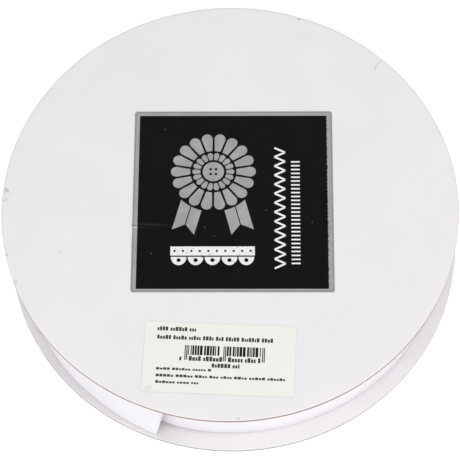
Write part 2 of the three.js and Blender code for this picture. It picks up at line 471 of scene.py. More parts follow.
def card_disc(name, box, finishes, damage, rippled):
    """A die-cut disc: a section turned about its own axis, with a crushed rim and small damage."""
    s = sizes()
    r, t, crush = s.card_radius, s.card_thickness, s.card_crush
    rim = RAGGED_RIM
    centre = middle(box)
    bottom = box[0].z
    upper_half = [(r - inset * MM, level * t - crushed * crush) for inset, level, crushed in RIM_SECTION]
    upper_half += [(r * ring, t) for ring in FACE_RINGS] + [(0, t)]
    section = [(radius, t - height) for radius, height in reversed(upper_half)] + upper_half[1:]

    bm = bmesh.new()
    verts = [bm.verts.new((radius, 0, height)) for radius, height in section]
    edges = [bm.edges.new(pair) for pair in zip(verts, verts[1:])]
    bmesh.ops.spin(
        bm,
        geom=verts + edges,
        cent=(0, 0, 0),
        axis=(0, 0, 1),
        angle=2 * math.pi,
        steps=CARD_STEPS,
        use_merge=True,
    )
    bmesh.ops.remove_doubles(bm, verts=bm.verts, dist=TOUCHING)
    bmesh.ops.recalc_face_normals(bm, faces=bm.faces)

    outside_up = box is UPPER_CARD
    for face in bm.faces:
        up = face.calc_center_median().z > t / 2
        if abs(face.normal.z) > FACE_TILT:
            face.material_index = 0 if up == outside_up else 1
        else:
            face.material_index = 2

    bmesh.ops.translate(bm, verts=bm.verts, vec=(centre.x, centre.y, bottom))
    for vert in bm.verts:
        out = Vector((vert.co.x - centre.x, vert.co.y - centre.y, 0))
        away = out.length
        if rippled:
            vert.co.z += card_ripple(vert.co.x, vert.co.y)
        if away > 0.5 * r:
            ragged = noise.noise(Vector((vert.co.x, vert.co.y, vert.co.z * 4)) * rim["fine"])
            ragged += rim["coarse_share"] * noise.noise(Vector((vert.co.x, vert.co.y, 0)) * rim["coarse"])
            vert.co -= out.normalized() * (rim["depth"] * (1 + ragged) * (away / r) ** rim["fade"])
        for spot in damage:
            gap = Vector((vert.co.x - spot["x"], vert.co.y - spot["y"], 0)).length
            if gap < spot["width"] and vert.co.z > bottom + 0.3 * t:
                press = 0.5 + 0.5 * math.cos(math.pi * gap / spot["width"])
                vert.co.z -= spot["depth"] * press
                vert.co -= out.normalized() * (0.5 * spot["depth"] * press)
    return placed(name, bm, finishes)


class TAPEREEL_OT_cards(bpy.types.Operator):
    """Add the two die-cut cards that hold the winding"""

    bl_idname = "tape_reel.cards"
    bl_label = "Cards"

    def execute(self, context):
        c = colours()
        roof = facing_finish("card inside", c.card_inside, UPPER_CARD[0].z)
        # The upper card's outer facing gets the painted shade along its rim.
        outside = facing_finish("card outside", c.card_outside, UPPER_CARD[1].z, UPPER_MARKS, rim_painted_shade=True)
        inside = facing_finish("lower card inside", c.card_inside, LOWER_CARD[1].z, LOWER_MARKS)
        plain = facing_finish("card underside", c.card_outside, LOWER_CARD[0].z)
        upper_edge = cut_edge_finish("card edge", c.card_core, c.card_outside, UPPER_CARD[0].z)
        # The lower card's edge takes the painted grey light in place of the board's brown.
        lower_edge = cut_edge_finish("lower card edge painted grey", c.lower_edge_painted_grey, c.card_outside, LOWER_CARD[0].z)
        upper = card_disc("upper_card", UPPER_CARD, [outside, roof, upper_edge], RIM_DAMAGE, True)
        lower = card_disc("lower_card", LOWER_CARD, [plain, inside, lower_edge], [], False)
        for piece, node in ((upper, "flange_top"), (lower, "flange_bottom")):
            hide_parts(node)
        return {"FINISHED"}


# ---------- the wound tape ----------

TAIL_END = math.radians(-109.05)  # where the tape's cut end stands, about +Z from +X

# The last turn's outer face: at each angle of turn past its own cut end, its radius in millimetres.
LAST_TURN = [
    (-130, 64.45), (-60, 64.7), (-12, 65.0), (3, 65.05), (25, 64.85), (40, 65.05), (53, 65.4),
    (65, 65.75), (100, 66.2), (160, 66.6), (230, 66.9), (280, 67.0), (320, 67.15), (331, 67.45),
    (339, 67.7), (347, 68.2), (354, 68.8), (360, 69.25), (364, 69.4),
]
LAST_TURN_FROM, LAST_TURN_TO = -130, 360
CUT_SLANT = 2.35  # degrees of turn that the cut end's upper corner reaches further round
END_LEAN = 0.8 * MM  # how far the cut end's upper edge leans in under the upper card
LEANS_FROM = 325
SWELL = 0.16 * MM  # how far the loose cloth bulges in and out
# Its two kinds of bulge: the share of each, its rates a degree of turn and a metre of height, and the
# layer of noise that it is read from.
SWELLS = [(1.0, 0.085, 90, 2.0), (0.6, 0.21, 60, 5.0)]
LOOSE_FROM, LOOSE_IN_FULL = 30, 150  # the turns between which it comes loose

# How far the outer turns' lower edges are lifted off their seat, in millimetres, at each angle of
# turn: most beside the cut end.
EDGE_LIFT = [
    (-130, 0.1), (-60, 0.15), (-25, 0.4), (-10, 1.1), (-2, 1.9), (1, 1.8), (4, 1.15), (8, 0.75),
    (14, 0.5), (25, 0.28), (45, 0.12), (110, 0.12), (230, 0.1), (320, 0.05), (364, 0.02),
]

# Turns wound higher than the rest: at each radius, how far their edges stand up, in millimetres.
RAISED_TURNS = [
    (0.0, 2.4), (20.5, 2.4), (22.5, 0.0), (26, 0.1), (28, 1.1), (33, 1.0), (35, 0.0), (43, 0.05),
    (45, 0.7), (50, 0.6), (52, 0.0), (56.5, 0.1), (58, 0.9), (60.5, 0.8), (62, 0.1), (65, 0.0),
]
WANDER = 0.6 * MM  # how unevenly the turns' edges stand
# Its waves along the spiral: the share of each, its rate a turn and where it starts. Then the share
# of what is irregular in it, and that one's rate a turn and round the reel.
WANDER_WAVES = [(0.16, 2.3, 0.0), (0.1, 5.1, 1.3)]
WANDER_NOISE = {"share": 0.25, "along": 0.31, "round": 3}
STEADY_WITHIN = 30 * MM  # inside this radius they stand more and more evenly
CARD_CLEARANCE = 0.12 * MM  # kept free under the upper card
LIFT_REACH = 7  # the outer turns' lift fades out over about this many turns inwards
RIDGED_TURNS = 26  # the outermost turns are drawn one by one
# One ridge: how far across it, and how far down as a share of the folds' radius.
RIDGE = [(0.0, 1.0), (0.16, 0.35), (0.5, 0.0), (0.84, 0.35)]
FLAT_TURNS = [51, 49, 45, 43, 38, 34.5, 33, 28.5, 26.5, 22.5, 20.5, 12, 5, 0]  # radii in millimetres
WINDING_STEPS = 260
TAIL_STEPS = 330
FOLD_STEPS = 6
FACE_STEPS = 12
HEM_STEPS = 5


def cotton_finish():
    """Bleached plain-weave cotton, cut on the bias, so its threads run at 45 degrees to the tape."""
    s, c = sizes(), colours()
    made = Finish("bias cotton", roughness=0.9, specular=0.2, sheen=0.25)
    wave = math.pi / s.thread_pitch
    threads = made.cloth(turn=math.radians(45), stretch=(wave, wave, 1))
    warp = made.calculate("SINE", made.part(threads, "X"))
    weft = made.calculate("SINE", made.part(threads, "Y"))
    over = made.calculate("GREATER_THAN", made.calculate("MULTIPLY", warp, weft), 0.0)
    warp = made.calculate("ABSOLUTE", warp)
    weft = made.calculate("ABSOLUTE", weft)
    warp_thread = made.calculate("MULTIPLY", warp, made.calculate("POWER", weft, 0.4))
    weft_thread = made.calculate("MULTIPLY", weft, made.calculate("POWER", warp, 0.4))
    weave = made.add("ShaderNodeMix", {0: over, 2: warp_thread, 3: weft_thread}, data_type="FLOAT")
    slub = made.mottle(made.cloth(turn=math.radians(45), stretch=(1, 9, 1)), 4 * MM, 3)
    haze = made.mottle(made.cloth(), 9 * MM, 3)
    tone = made.blend(made.between(weave, 0.0, 0.7), shade(c.cotton, 0.9), shade(c.cotton, 1.01))
    tone = made.blend(made.between(slub, 0.35, 0.7, 0, 0.35), tone, shade(c.cotton, 0.95))
    tone = made.blend(made.between(haze, 0.4, 0.7, 0, 0.25), tone, shade(c.cotton, 0.97))
    relief = made.bump(haze, 0.2 * MM, 0.25)
    relief = made.bump(slub, 0.05 * MM, 0.4, below=relief)
    relief = made.bump(weave, 0.07 * MM, 0.7, below=relief)
    return made.finish(Base_Color=tone, Normal=relief, Sheen_Roughness=0.6)


def cloth_map(bm, flat):
    """Gives each corner of the grid its place in the flat cloth, in metres."""
    layer = bm.loops.layers.uv.new("cloth")
    for face in bm.faces:
        for loop in face.loops:
            loop[layer].uv = flat(loop.vert.co)


def tape_thickness():
    return sizes().cloth_thickness + 2 * sizes().fold_radius


def winding_section():
    """Half of the winding's section from its outer wall inwards: how far in, how far up, per point.

    Each turn is a rounded ridge one tape thickness wide, and the turns further in are one flat.
    """
    pitch = tape_thickness()
    dip = sizes().fold_radius
    points = []
    for turn in range(RIDGED_TURNS):
        points += [((turn + across) * pitch, -drop * dip) for across, drop in RIDGE]
    points.append((RIDGED_TURNS * pitch, -dip))
    return points


def wound_height(radius, turns_in, angle_of):
    """How high the folded edge of a turn stands over the others."""
    spiral = turns_in - angle_of / (2 * math.pi)
    wander = sum(part * math.sin(rate * spiral + start) for part, rate, start in WANDER_WAVES)
    ring = WANDER_NOISE["round"]
    place = Vector((spiral * WANDER_NOISE["along"], ring * math.cos(angle_of), ring * math.sin(angle_of)))
    wander += WANDER_NOISE["share"] * noise.noise(place)
    return eased(RAISED_TURNS, radius / MM) * MM + WANDER * wander * min(1.0, radius / STEADY_WITHIN)


class TAPEREEL_OT_winding(bpy.types.Operator):
    """Add the wound tape, a spiral of folded edges with an uneven top"""

    bl_idname = "tape_reel.winding"
    bl_label = "Wound tape"

    def execute(self, context):
        s = sizes()
        pitch = tape_thickness()
        seat = LOWER_CARD[1].z + s.tape_seat
        top = seat + s.tape_width
        ceiling = UPPER_CARD[0].z - CARD_CLEARANCE
        start = TAIL_END + math.radians(LAST_TURN_FROM)
        outer = LAST_TURN[0][1] * MM
        ridges = winding_section()
        plain_within = outer - ridges[-1][0] - 2 * pitch
        flats = [radius * MM for radius in FLAT_TURNS if radius * MM < plain_within]
        upper = [("ridge", inwards, lift) for inwards, lift in ridges] + [("flat", r, 0.0) for r in flats]
        rows = [(*row, True) for row in reversed(upper)] + [(*row, False) for row in upper]
        last = len(rows) - 1

        def point(co):
            kind, value, lift, above = rows[round(co.y * last)]
            angle_of = 2 * math.pi * co.x
            radius = outer - value - pitch * (1 - co.x) if kind == "ridge" else value
            turns_in = value / pitch if kind == "ridge" else RIDGED_TURNS
            lifted = eased(EDGE_LIFT, LAST_TURN_FROM + 360 * co.x) * MM * math.exp(-turns_in / LIFT_REACH)
            if above:
                height = min(ceiling, top + lifted + wound_height(radius, turns_in, angle_of)) + lift
            else:
                height = seat + lifted - lift
            radius = max(0.0, radius)
            return Vector((radius * math.cos(start + angle_of), radius * math.sin(start + angle_of), height))

        bm = grid(WINDING_STEPS, last)
        cloth_map(bm, lambda co: (co.x * 2 * math.pi * outer, point(co).z))
        for vert in bm.verts:
            vert.co = point(vert.co)
        bmesh.ops.remove_doubles(bm, verts=bm.verts, dist=0.001 * MM)
        bmesh.ops.holes_fill(bm, edges=[e for e in bm.edges if e.is_boundary], sides=0)
        bmesh.ops.recalc_face_normals(bm, faces=bm.faces)
        piece = placed("wound_tape", bm, [cotton_finish()], sharp_deg=70)
        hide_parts("tape_roll")
        return {"FINISHED"}


def fold_ends():
    """How far from the flat cloth's middle each of its folds starts and ends."""
    s = sizes()
    face = s.tape_width / 2 - s.cloth_thickness / 2 - s.fold_radius
    return face, face + math.pi * s.fold_radius


def cloth_rows():
    """The rows across the flat cloth, from raw edge to raw edge, closer together in the two folds."""
    s = sizes()
    face, fold = fold_ends()
    half = steps_from(0, face, FACE_STEPS // 2) + steps_from(face, fold, FOLD_STEPS)[1:]
    half += steps_from(fold, fold + s.hem_depth, HEM_STEPS)[1:]
    return [-row for row in reversed(half[1:])] + half


def folded(row):
    """Where a row of the flat cloth lies once folded: its depth behind the face and its height."""
    s = sizes()
    side = 1 if row >= 0 else -1
    out = abs(row)
    face, fold = fold_ends()
    skin = s.cloth_thickness / 2
    if out <= face:
        depth, height = skin, out
    elif out <= fold:
        bend = (out - face) / s.fold_radius
        depth = skin + s.fold_radius * (1 - math.cos(bend))
        height = face + s.fold_radius * math.sin(bend)
    else:
        depth, height = skin + 2 * s.fold_radius, face - (out - fold)
    return depth, s.tape_width / 2 + side * height


class TAPEREEL_OT_tail(bpy.types.Operator):
    """Add the tape's last turn, one folded length of cotton that ends in the loose cut end"""

    bl_idname = "tape_reel.tail"
    bl_label = "Loose last turn"

    def execute(self, context):
        s = sizes()
        seat = LOWER_CARD[1].z + s.tape_seat
        rows = cloth_rows()
        last = len(rows) - 1
        sweep = LAST_TURN_TO - LAST_TURN_FROM
        step = math.radians(sweep) / TAIL_STEPS
        middles = [LAST_TURN_FROM + sweep * (i + 0.5) / TAIL_STEPS for i in range(TAIL_STEPS)]
        run = sum(eased(LAST_TURN, turn) * MM * step for turn in middles)

        def point(co):
            depth, height = folded(rows[round(co.y * last)])
            end = LAST_TURN_TO + CUT_SLANT * height / s.tape_width
            turn = LAST_TURN_FROM + (end - LAST_TURN_FROM) * co.x
            loose = held((turn - LOOSE_FROM) / (LOOSE_IN_FULL - LOOSE_FROM))
            swell = 0.0
            for part, along, up, layer in SWELLS:
                swell += part * noise.noise(Vector((turn * along, height * up, layer)))
            leaning = held((turn - LEANS_FROM) / (LAST_TURN_TO - LEANS_FROM))
            radius = eased(LAST_TURN, turn) * MM - depth + SWELL * loose * swell
            radius -= END_LEAN * leaning * leaning * height / s.tape_width
            around = TAIL_END + math.radians(turn)
            lift = eased(EDGE_LIFT, turn) * MM
            return Vector((radius * math.cos(around), radius * math.sin(around), seat + lift + height))

        bm = grid(TAIL_STEPS, last)
        cloth_map(bm, lambda co: (co.x * run, rows[round(co.y * last)]))
        for vert in bm.verts:
            vert.co = point(vert.co)
        bmesh.ops.recalc_face_normals(bm, faces=bm.faces)
        piece = placed("last_turn", bm, [cotton_finish()], sharp_deg=70)
        cloth = piece.modifiers.new("cloth thickness", "SOLIDIFY")
        cloth.thickness = s.cloth_thickness
        cloth.offset = 0
        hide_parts("tape_end")
        return {"FINISHED"}


# ---------- the printed label ----------

# The black field inside the silver border, from the label's middle.
FIELD = {"left": -29.12 * MM, "right": 28.9 * MM, "low": -29.6 * MM, "high": 29.15 * MM}

# Creases pressed into the label, in millimetres: where one starts, how far and which way it runs, its
# width and its height. A crease falls away more steeply on its near side.
CREASES = [
    {"x": -31, "y": -8.75, "run": 14, "turn": -3.5, "width": 0.95, "height": 0.32},
    {"x": -31, "y": -10.2, "run": 19, "turn": -14, "width": 2.2, "height": -0.1},
    {"x": 5.0, "y": -9.6, "run": 9, "turn": 28, "width": 1.6, "height": 0.03},
    {"x": -12, "y": 3.0, "run": 8, "turn": 62, "width": 1.8, "height": 0.03},
    {"x": 3, "y": 7.0, "run": 7, "turn": 80, "width": 1.6, "height": 0.03},
]
NEAR_SIDE = 0.35
LABEL_GRID = 1.7 * MM
CREASED_BAND = (-11.5 * MM, -7 * MM, 18)  # where the label is cut finer, and into how many rows
CORNER_STEPS = 5
PAPER_SEAT = 0.01 * MM  # between the upper card and what is stuck on it

# Roughness, specular level and, for the silver, how metallic each ink is.
BLACK_GLOSS = (0.34, 0.12)
SILVER_GLOSS = (0.48, 0.5, 0.35)
WHITE_GLOSS = (0.5, 0.3)

# A darker line printed near the border's outer edge: how far in it ends and starts, and its colour.
BORDER_LINE = {"ends": 0.62 * MM, "starts": 0.4 * MM, "tint": (0.12, 0.12, 0.12)}

# Dust on the label, painted shade along the crease where it crosses the border, and painted shade in a small
# dent on the price sticker, in millimetres.
DUST = [(-24.1, -15.9), (-8.0, -7.2), (-5.0, -10.0), (10.8, -1.4), (-20.7, 26.4), (24.8, -5.5)]
DUST_TINT = (0.075, 0.075, 0.075)
DUST_MARKS = [Mark(x, y, 0.08, 0.38, DUST_TINT) for x, y in DUST]
BORDER_CREASE_SHADE = [
    # Painted shade along the crease's steep side on the silver border.
    Mark(-29.4, -6.6, 0.1, 0.42, (0.2, 0.2, 0.21), long=3.0),
]
STICKER_DENT_SHADE = [
    # Painted shade of a small dent in the sticker's paper.
    Mark(-24.0, -59.2, 0.2, 1.3, (0.74, 0.76, 0.72), turn=30, long=1.4),
]


def label_crease(x, y):
    """How far the creases lift the label at a place on it."""
    lift = 0.0
    for crease in CREASES:
        away = Vector((x / MM - crease["x"], y / MM - crease["y"]))
        turned = Matrix.Rotation(math.radians(-crease["turn"]), 2) @ away
        along = turned.x / crease["run"]
        fade = math.cos(0.5 * math.pi * along**2) if 0 <= along <= 1 else 0.0
        width = crease["width"] * (1.0 if turned.y > 0 else NEAR_SIDE)
        lift += crease["height"] * MM * fade * math.exp(-((turned.y / width) ** 2))
    return lift


def ease_label(bm):
    """Cuts a flat piece of the label finely enough to follow the creases, and lets it follow them."""
    half = sizes().label_size / 2
    count = round(2 * half / LABEL_GRID)
    cut_across(bm, "x", steps_from(-half, half, count)[1:-1])
    cut_across(bm, "y", steps_from(-half, half, count)[1:-1])
    cut_across(bm, "y", steps_from(*CREASED_BAND))
    for vert in bm.verts:
        vert.co.z += label_crease(vert.co.x, vert.co.y)


def print_finish(name, tint, roughness, specular, metallic=0.0, streak=0.03, worn=0.0, line=0.0, marks=()):
    """Flat ink on smooth paper: a faint cloud in the tone, small specks and rub marks in the gloss.

    Streak is how uneven the tone is, worn is how much ink is chipped off, and line is the strength of
    the border's darker line.
    """
    made = Finish(name, roughness=roughness, specular=specular, metallic=metallic)
    place = made.place()
    cloud = made.mottle(place, 4.5 * MM, 2)
    grain = made.mottle(place, 0.35 * MM, 3, 0.6)
    rub = made.mottle(made.place(turn=0.9, stretch=(1, 7, 1)), 3 * MM, 3)
    tone = made.blend(made.between(cloud, 0.36, 0.66), shade(tint, 1 - streak), shade(tint, 1 + streak))
    tone = made.blend(made.between(grain, 0.35, 0.7, 0, 0.4), tone, shade(tint, 1 - 2 * streak))
    if line:
        out = made.add("ShaderNodeVectorMath", {0: made.place(middle(FRONT_LABEL))}, operation="ABSOLUTE")
        out = made.calculate("MAXIMUM", made.part(out, "X"), made.part(out, "Y"))
        half = sizes().label_size / 2
        edge = made.between(out, half - BORDER_LINE["ends"], half - BORDER_LINE["starts"], 0, line)
        tone = made.blend(edge, tone, BORDER_LINE["tint"])
    if worn:
        chips = made.mottle(place, 0.55 * MM, 4, 0.7)
        chipped = made.between(chips, 0.64 - worn, 0.66 - worn)
        tone = made.blend(chipped, tone, colours().label_black)
    tone = speckled(made, tone, marks, UPPER_CARD[1].z, grain)
    relief = made.bump(cloud, 0.12 * MM, 0.25)
    relief = made.bump(grain, 0.008 * MM, 0.5, below=relief)
    gloss = made.between(rub, 0.35, 0.75, roughness - 0.05, roughness + 0.08)
    return made.finish(Base_Color=tone, Roughness=gloss, Normal=relief)


def paper_plate(width, height, thickness, corner):
    """A thin sheet of paper with rounded corners, its lower face at height 0."""
    bm = bmesh.new()
    bmesh.ops.create_cube(bm, size=1)
    bmesh.ops.scale(bm, verts=bm.verts, vec=(width, height, thickness))
    bmesh.ops.translate(bm, verts=bm.verts, vec=(0, 0, thickness / 2))
    upright = [e for e in bm.edges if abs(e.verts[0].co.z - e.verts[1].co.z) > thickness / 2]
    bmesh.ops.bevel(
        bm,
        geom=upright,
        offset=corner,
        offset_type="OFFSET",
        affect="EDGES",
        segments=CORNER_STEPS,
        profile=0.5,
        material=-1,
    )
    return bm


class Ink:
    """A layer of print: flat patches of one thickness, standing from a height above the card."""

    def __init__(self, low, thickness):
        self.bm = bmesh.new()
        self.low = low
        self.thickness = thickness

    def patch(self, corners, x=0.0, y=0.0, turn=0.0):
        """Adds a patch whose corners are given about 0, turned and then moved to a place."""
        turned = [Matrix.Rotation(turn, 2) @ Vector(corner) for corner in corners]
        self.raise_up(self.bm.faces.new([self.bm.verts.new((x + v.x, y + v.y, self.low)) for v in turned]))

    def dot(self, x, y, radius, steps):
        """Adds a round patch."""
        place = Matrix.Translation((x, y, self.low))
        made = bmesh.ops.create_circle(self.bm, cap_ends=True, segments=steps, radius=radius, matrix=place)
        self.raise_up(made["verts"][0].link_faces[0])

    def bar(self, x, y, width, height, turn=0.0):
        """Adds a rectangular patch about a middle point."""
        corners = [(-0.5, -0.5), (0.5, -0.5), (0.5, 0.5), (-0.5, 0.5)]
        self.patch([(u * width, v * height) for u, v in corners], x, y, turn)

    def raise_up(self, face):
        """Gives a flat patch the layer's thickness."""
        grown = bmesh.ops.extrude_face_region(self.bm, geom=[face])
        lifted = [part for part in grown["geom"] if isinstance(part, bmesh.types.BMVert)]
        bmesh.ops.translate(self.bm, verts=lifted, vec=(0, 0, self.thickness))

    def lay(self, name, centre, turn, material, follow=None):
        """Finishes the layer: closes it, lets it follow what is below, and puts it in its place."""
        bmesh.ops.recalc_face_normals(self.bm, faces=self.bm.faces)
        if follow:
            follow(self.bm)
        turned = Matrix.Rotation(turn, 3, "Z")
        bmesh.ops.rotate(self.bm, verts=self.bm.verts, cent=(0, 0, 0), matrix=turned)
        bmesh.ops.translate(self.bm, verts=self.bm.verts, vec=centre)
        lay_on_card(self.bm)
        return placed(name, self.bm, [material])


def paper_place(box):
    """The middle of a label's lower face, on the upper card."""
    place = middle(box)
    place.z = UPPER_CARD[1].z + PAPER_SEAT
    return place


class TAPEREEL_OT_label(bpy.types.Operator):
    """Add the square label: a black field inside a silver border"""

    bl_idname = "tape_reel.label"
    bl_label = "Printed label"

    def execute(self, context):
        s, c = sizes(), colours()
        bm = paper_plate(s.label_size, s.label_size, s.label_thickness, s.label_corner)
        cut_across(bm, "x", [FIELD["left"], FIELD["right"]])
        cut_across(bm, "y", [FIELD["low"], FIELD["high"]])
        ease_label(bm)
        for face in bm.faces:
            at = face.calc_center_median()
            inside = FIELD["left"] < at.x < FIELD["right"] and FIELD["low"] < at.y < FIELD["high"]
            face.material_index = 0 if inside and face.normal.z > 0.5 else 1
        bmesh.ops.translate(bm, verts=bm.verts, vec=paper_place(FRONT_LABEL))
        lay_on_card(bm)
        black = print_finish("label black", c.label_black, *BLACK_GLOSS, streak=0.12, marks=DUST_MARKS)
        silver = print_finish(
            "label silver", c.label_silver, *SILVER_GLOSS, streak=0.05, line=0.35, marks=BORDER_CREASE_SHADE
        )
        piece = placed("square_label", bm, [black, silver], sharp_deg=50)
        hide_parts("front_label")
        return {"FINISHED"}


# ---------- the label's print: a pleated rosette, a scalloped trim and two rows of stitches ----------

ROSETTE = {"x": -6.1 * MM, "y": 9.7 * MM, "pleats": 18, "backing": 13.65 * MM, "button": 3.3 * MM}
BUTTON_HOLES = {"out": 1.15 * MM, "radius": 0.42 * MM}
PLEAT_RINGS = [{"inner": 4.0 * MM, "outer": 6.5 * MM}, {"inner": 7.1 * MM, "outer": 13.1 * MM}]
PLEAT_TIP, PLEAT_FOOT = 0.43, 0.36  # half of a pleat's width at both ends, as a share of its room
RIBBON_TAIL = {
    "top": -8 * MM,
    "foot": -21.2 * MM,
    "notch": 2.6 * MM,
    "slit": 0.16 * MM,
    "half": 3.5 * MM,
    "lean": 15,
    "aside": 3.6 * MM,
}
TRIM = {"x": -6.1 * MM, "top": -15.6 * MM, "width": 25.6 * MM, "band": 3.0 * MM}
SCALLOPS = {"count": 5, "below": 0.45 * MM, "radius": 0.465, "drop": 1.15}
EYELETS = {"below": 1.55 * MM, "large": 0.62 * MM, "small": 0.36 * MM}
ZIGZAG = {"x": 14.35 * MM, "low": -22.9 * MM, "high": 17.9 * MM, "width": 3.3 * MM, "thread": 0.6 * MM}
ZIGZAG_STITCHES = 26
LADDER = {"x": 19.15 * MM, "low": -21.9 * MM, "high": 13.7 * MM, "width": 2.7 * MM, "thread": 0.5 * MM}
LADDER_STITCHES = 27
# Ticks of black on the field's right side: how many, how far out, and their least and added sizes in
# millimetres.
RAGGED = {"ticks": 46, "out": 0.04 * MM, "wide": (0.16, 0.2), "tall": (0.3, 0.3)}


def rosette(ink):
    """Two rings of rounded pleats round a button."""
    x, y = ROSETTE["x"], ROSETTE["y"]
    step = 2 * math.pi / ROSETTE["pleats"]
    for ring in PLEAT_RINGS:
        inner, outer = ring["inner"], ring["outer"]
        tip = outer * math.sin(PLEAT_TIP * step) / (1 + math.sin(PLEAT_TIP * step))
        foot = inner * math.sin(PLEAT_FOOT * step)
        crown = [(tip * math.cos(a), tip * math.sin(a)) for a in steps_from(-math.pi / 2, math.pi / 2, 8)]
        outline = [(inner, foot), (inner, -foot)] + [(outer - tip + u, v) for u, v in crown]
        for pleat in range(ROSETTE["pleats"]):
            ink.patch(outline, x, y, pleat * step)
    ink.dot(x, y, ROSETTE["button"], steps=40)


def rosette_backing(ink):
    """A dark round behind the pleats, which keeps them apart from the ribbon ends."""
    ink.dot(ROSETTE["x"], ROSETTE["y"], ROSETTE["backing"], steps=60)


def button_holes(ink):
    for turn in (45, 135, 225, 315):
        out = Matrix.Rotation(math.radians(turn), 2) @ Vector((BUTTON_HOLES["out"], 0))
        ink.dot(ROSETTE["x"] + out.x, ROSETTE["y"] + out.y, BUTTON_HOLES["radius"], steps=12)


def ribbon_tails(ink):
    """Two ribbon ends with notched feet, each in two halves beside a dark middle line."""
    tail = RIBBON_TAIL
    for side in (-1, 1):
        x, lean = ROSETTE["x"] + tail["aside"] * side, math.radians(tail["lean"]) * side
        for half in (-1, 1):
            inner, outer = tail["slit"] * half, tail["half"] * half
            corners = [(inner, tail["top"]), (outer, tail["top"]), (outer, tail["foot"])]
            corners += [(inner, tail["foot"] + tail["notch"])]
            ink.patch(corners, x, ROSETTE["y"], lean)


def scallop_middles():
    """Where along the trim each scallop's middle lies."""
    pitch = TRIM["width"] / SCALLOPS["count"]
    return [TRIM["x"] - TRIM["width"] / 2 + pitch * (i + 0.5) for i in range(SCALLOPS["count"])]


def scalloped_trim(ink):
    """A narrow band with rounded scallops hanging from it."""
    ink.bar(TRIM["x"], TRIM["top"] - TRIM["band"] / 2, TRIM["width"], TRIM["band"])
    base = TRIM["top"] - TRIM["band"] - SCALLOPS["below"]
    radius = SCALLOPS["radius"] * TRIM["width"] / SCALLOPS["count"]
    turns = steps_from(math.pi, 2 * math.pi, 18)
    bow = [(radius * math.cos(a), radius * SCALLOPS["drop"] * math.sin(a)) for a in turns]
    for at in scallop_middles():
        ink.patch(bow, at, base)


def trim_eyelets(ink):
    """A large hole in each scallop and two small ones over it in the band."""
    low, high = TRIM["top"] - TRIM["band"] - EYELETS["below"], TRIM["top"] - TRIM["band"] / 2
    aside = TRIM["width"] / SCALLOPS["count"] / 4
    for at in scallop_middles():
        ink.dot(at, low, EYELETS["large"], steps=16)
        ink.dot(at - aside, high, EYELETS["small"], steps=10)
        ink.dot(at + aside, high, EYELETS["small"], steps=10)


def ragged_edge(ink):
    """Small black ticks that make the field's right side ragged."""
    pitch = (FIELD["high"] - FIELD["low"]) / RAGGED["ticks"]
    for i in range(RAGGED["ticks"]):
        chance = noise.cell(Vector((i * 1.3 + 0.5, 4.5, 0.5)))
        y = FIELD["low"] + pitch * (i + 0.5 + 0.25 * chance)
        wide, tall = (least + more * abs(chance) for least, more in (RAGGED["wide"], RAGGED["tall"]))
        ink.bar(FIELD["right"] + RAGGED["out"], y, wide * MM, tall * MM)


def stitches(ink):
    """A row of zigzag stitches and a row of short bars."""
    pitch = (ZIGZAG["high"] - ZIGZAG["low"]) / ZIGZAG_STITCHES
    slope = math.atan2(pitch, ZIGZAG["width"])
    run = math.hypot(pitch, ZIGZAG["width"])
    for i in range(ZIGZAG_STITCHES):
        y = ZIGZAG["low"] + pitch * (i + 0.5)
        ink.bar(ZIGZAG["x"], y, run, ZIGZAG["thread"], slope * (-1) ** i)
    pitch = (LADDER["high"] - LADDER["low"]) / LADDER_STITCHES
    for i in range(LADDER_STITCHES):
        ink.bar(LADDER["x"], LADDER["low"] + pitch * (i + 0.5), LADDER["width"], LADDER["thread"])


class TAPEREEL_OT_label_print(bpy.types.Operator):
    """Add the print on the label: rosette, scalloped trim and stitches"""

    bl_idname = "tape_reel.label_print"
    bl_label = "Label print"

    def execute(self, context):
        s, c = sizes(), colours()
        low, thick = s.label_thickness, s.ink_thickness
        silver = print_finish("rosette silver", c.label_silver, *SILVER_GLOSS, streak=0.09)
        white = print_finish("white ink", c.label_white, *WHITE_GLOSS)
        worn = print_finish("worn white ink", c.label_white, *WHITE_GLOSS, worn=0.02)
        black = print_finish("black ink", c.label_black, *BLACK_GLOSS, streak=0.12)
        # Each layer's thickness, in inks: what lies over another layer stands clear of it.
        layers = [
            ("tails_print", 1.0, silver, (ribbon_tails,)),
            ("backing_print", 2.0, black, (rosette_backing,)),
            ("rosette_print", 3.0, silver, (rosette,)),
            ("trim_print", 2.0, worn, (scalloped_trim,)),
            ("stitch_print", 2.0, white, (stitches,)),
            ("black_print", 4.5, black, (button_holes, trim_eyelets, ragged_edge)),
        ]
        for name, inks, material, drawings in layers:
            ink = Ink(low, inks * thick)
            for drawing in drawings:
                drawing(ink)
            ink.lay(name, paper_place(FRONT_LABEL), 0, material, ease_label)
        return {"FINISHED"}


# ---------- the price sticker ----------

STICKER_GRID = (24, 12)  # into how many parts it is cut along and across, to follow the card

# Roughness and specular level of the sticker's paper, its cut edge and its two inks.
PAPER_GLOSS = (0.5, 0.4)
EDGE_GLOSS = (0.8, 0.2)
INK_GLOSS = (0.6, 0.3)
STRIPE_GLOSS = (0.6, 0.2)

# Lines of small print, as plain blocks, in millimetres: where each starts and ends, its height on the
# sticker, how tall and how wide its letters are.
PRINT_LINES = [
    (-18.8, -7.3, 8.9, 0.95, 0.75),
    (-18.7, 15.7, 6.2, 0.95, 0.75),
    (-11.8, -10.9, -0.35, 1.1, 0.9),
    (-9.0, 0.9, -0.35, 1.1, 0.9),
    (2.6, 12.2, -0.35, 1.1, 0.9),
    (-2.1, 6.1, -2.35, 0.95, 0.85),
    (-18.5, -1.9, -3.8, 0.55, 0.9),
    (-18.5, 20.1, -5.95, 0.6, 0.95),
    (-18.5, -5.8, -8.0, 0.6, 0.95),
]
LETTER_WIDTHS = (0.55, 0.5)  # the least share of its room that a letter takes, and what chance adds
LEAST_LETTER = 0.3 * MM
TALL_LETTER = 1.35
TALL_FROM = 0.6  # the chance from which a letter is a tall one
LETTER_GAP, WORD_GAP = 0.2 * MM, 0.5 * MM

